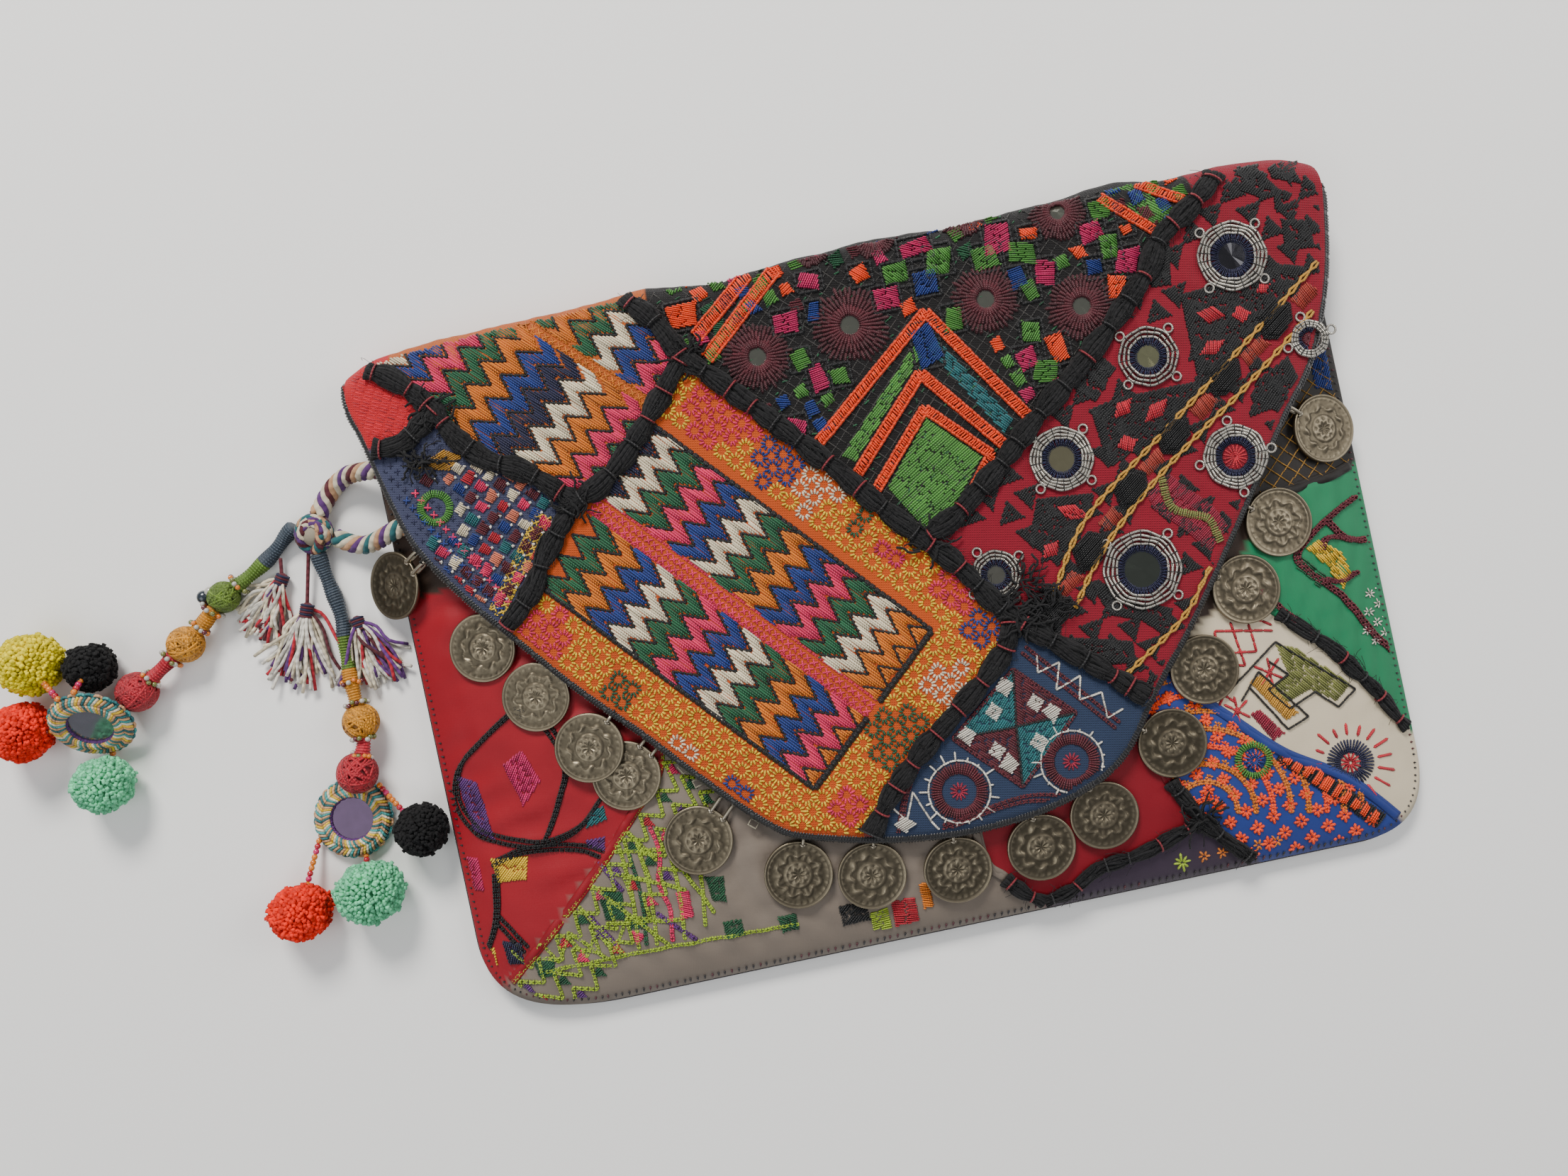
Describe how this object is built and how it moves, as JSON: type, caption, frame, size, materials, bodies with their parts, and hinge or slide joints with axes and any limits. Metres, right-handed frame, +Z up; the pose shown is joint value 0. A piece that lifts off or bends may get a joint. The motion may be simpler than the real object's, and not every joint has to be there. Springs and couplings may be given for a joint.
{
  "type": "clutch_bag",
  "caption": "Embroidered patchwork clutch with a couched-yarn flap, a fringe of worn coins and two charm strands with thread balls, mirror rings and yarn pompoms.",
  "frame": {"origin": "Under the middle of the clutch and its coin fringe, on the surface that it lies on.", "axes": "+X along the fold towards the right side, +Y towards the fold, +Z up out of the flap."},
  "size_m": [0.4943, 0.2476, 0.0269],
  "materials": {
    "lining_cloth": "plain woven cotton",
    "embroidered_cloth": "patchwork of cotton, silk and wool thread embroidery",
    "satin": "silk satin",
    "black_yarn": "couched wool yarn with red ties",
    "piping": "glossy bound cord",
    "coin_nickel": "worn nickel",
    "charm_yarn": "wrapped and twisted yarn",
    "thread_ball": "wound embroidery thread",
    "mirror_ring": "crochet thread round a small mirror",
    "pompom_yarn": "cut wool yarn"
  },
  "bodies": {
    "root": {"back_panel": "lining_cloth", "front_panel": "lining_cloth", "flap": "lining_cloth", "flap_piping": "piping", "flap_patch_corner": "embroidered_cloth", "flap_patch_chevron": "embroidered_cloth", "flap_patch_lattice": "embroidered_cloth", "flap_patch_orange": "embroidered_cloth", "flap_patch_net": "embroidered_cloth", "flap_patch_twill": "embroidered_cloth", "flap_patch_blue": "embroidered_cloth", "flap_couched_yarn": "black_yarn", "front_patch_satin": "satin", "front_patch_grey": "embroidered_cloth", "front_patch_red": "satin", "front_patch_hem": "embroidered_cloth", "front_patch_royal": "embroidered_cloth", "front_patch_cream": "embroidered_cloth", "front_patch_green": "satin", "front_patch_net": "embroidered_cloth", "front_couched_yarn_low": "black_yarn", "front_couched_yarn_right": "black_yarn", "coin_1": "coin_nickel", "coin_2": "coin_nickel", "coin_3": "coin_nickel", "coin_4": "coin_nickel", "coin_5": "coin_nickel", "coin_6": "coin_nickel", "coin_7": "coin_nickel", "coin_8": "coin_nickel", "coin_9": "coin_nickel", "coin_10": "coin_nickel", "coin_11": "coin_nickel", "coin_12": "coin_nickel", "coin_13": "coin_nickel", "coin_14": "coin_nickel", "coin_15": "coin_nickel", "coin_16": "coin_nickel", "charm_cord_upper": "charm_yarn", "charm_cord_lower": "charm_yarn", "charm_strand_left": "charm_yarn", "charm_strand_right": "charm_yarn", "charm_knot": "charm_yarn", "left_knob": "thread_ball", "left_ball_orange": "thread_ball", "left_ball_red": "thread_ball", "right_ball_orange": "thread_ball", "right_ball_red": "thread_ball", "left_ring": "mirror_ring", "right_ring": "mirror_ring", "left_pompom_yellow": "pompom_yarn", "left_pompom_orange": "pompom_yarn", "left_pompom_black": "pompom_yarn", "left_pompom_mint": "pompom_yarn", "right_pompom_black": "pompom_yarn", "right_pompom_mint": "pompom_yarn", "right_pompom_orange": "pompom_yarn", "tassel_left": "charm_yarn", "tassel_middle": "charm_yarn", "tassel_right": "charm_yarn"}
  },
  "joints": []
}
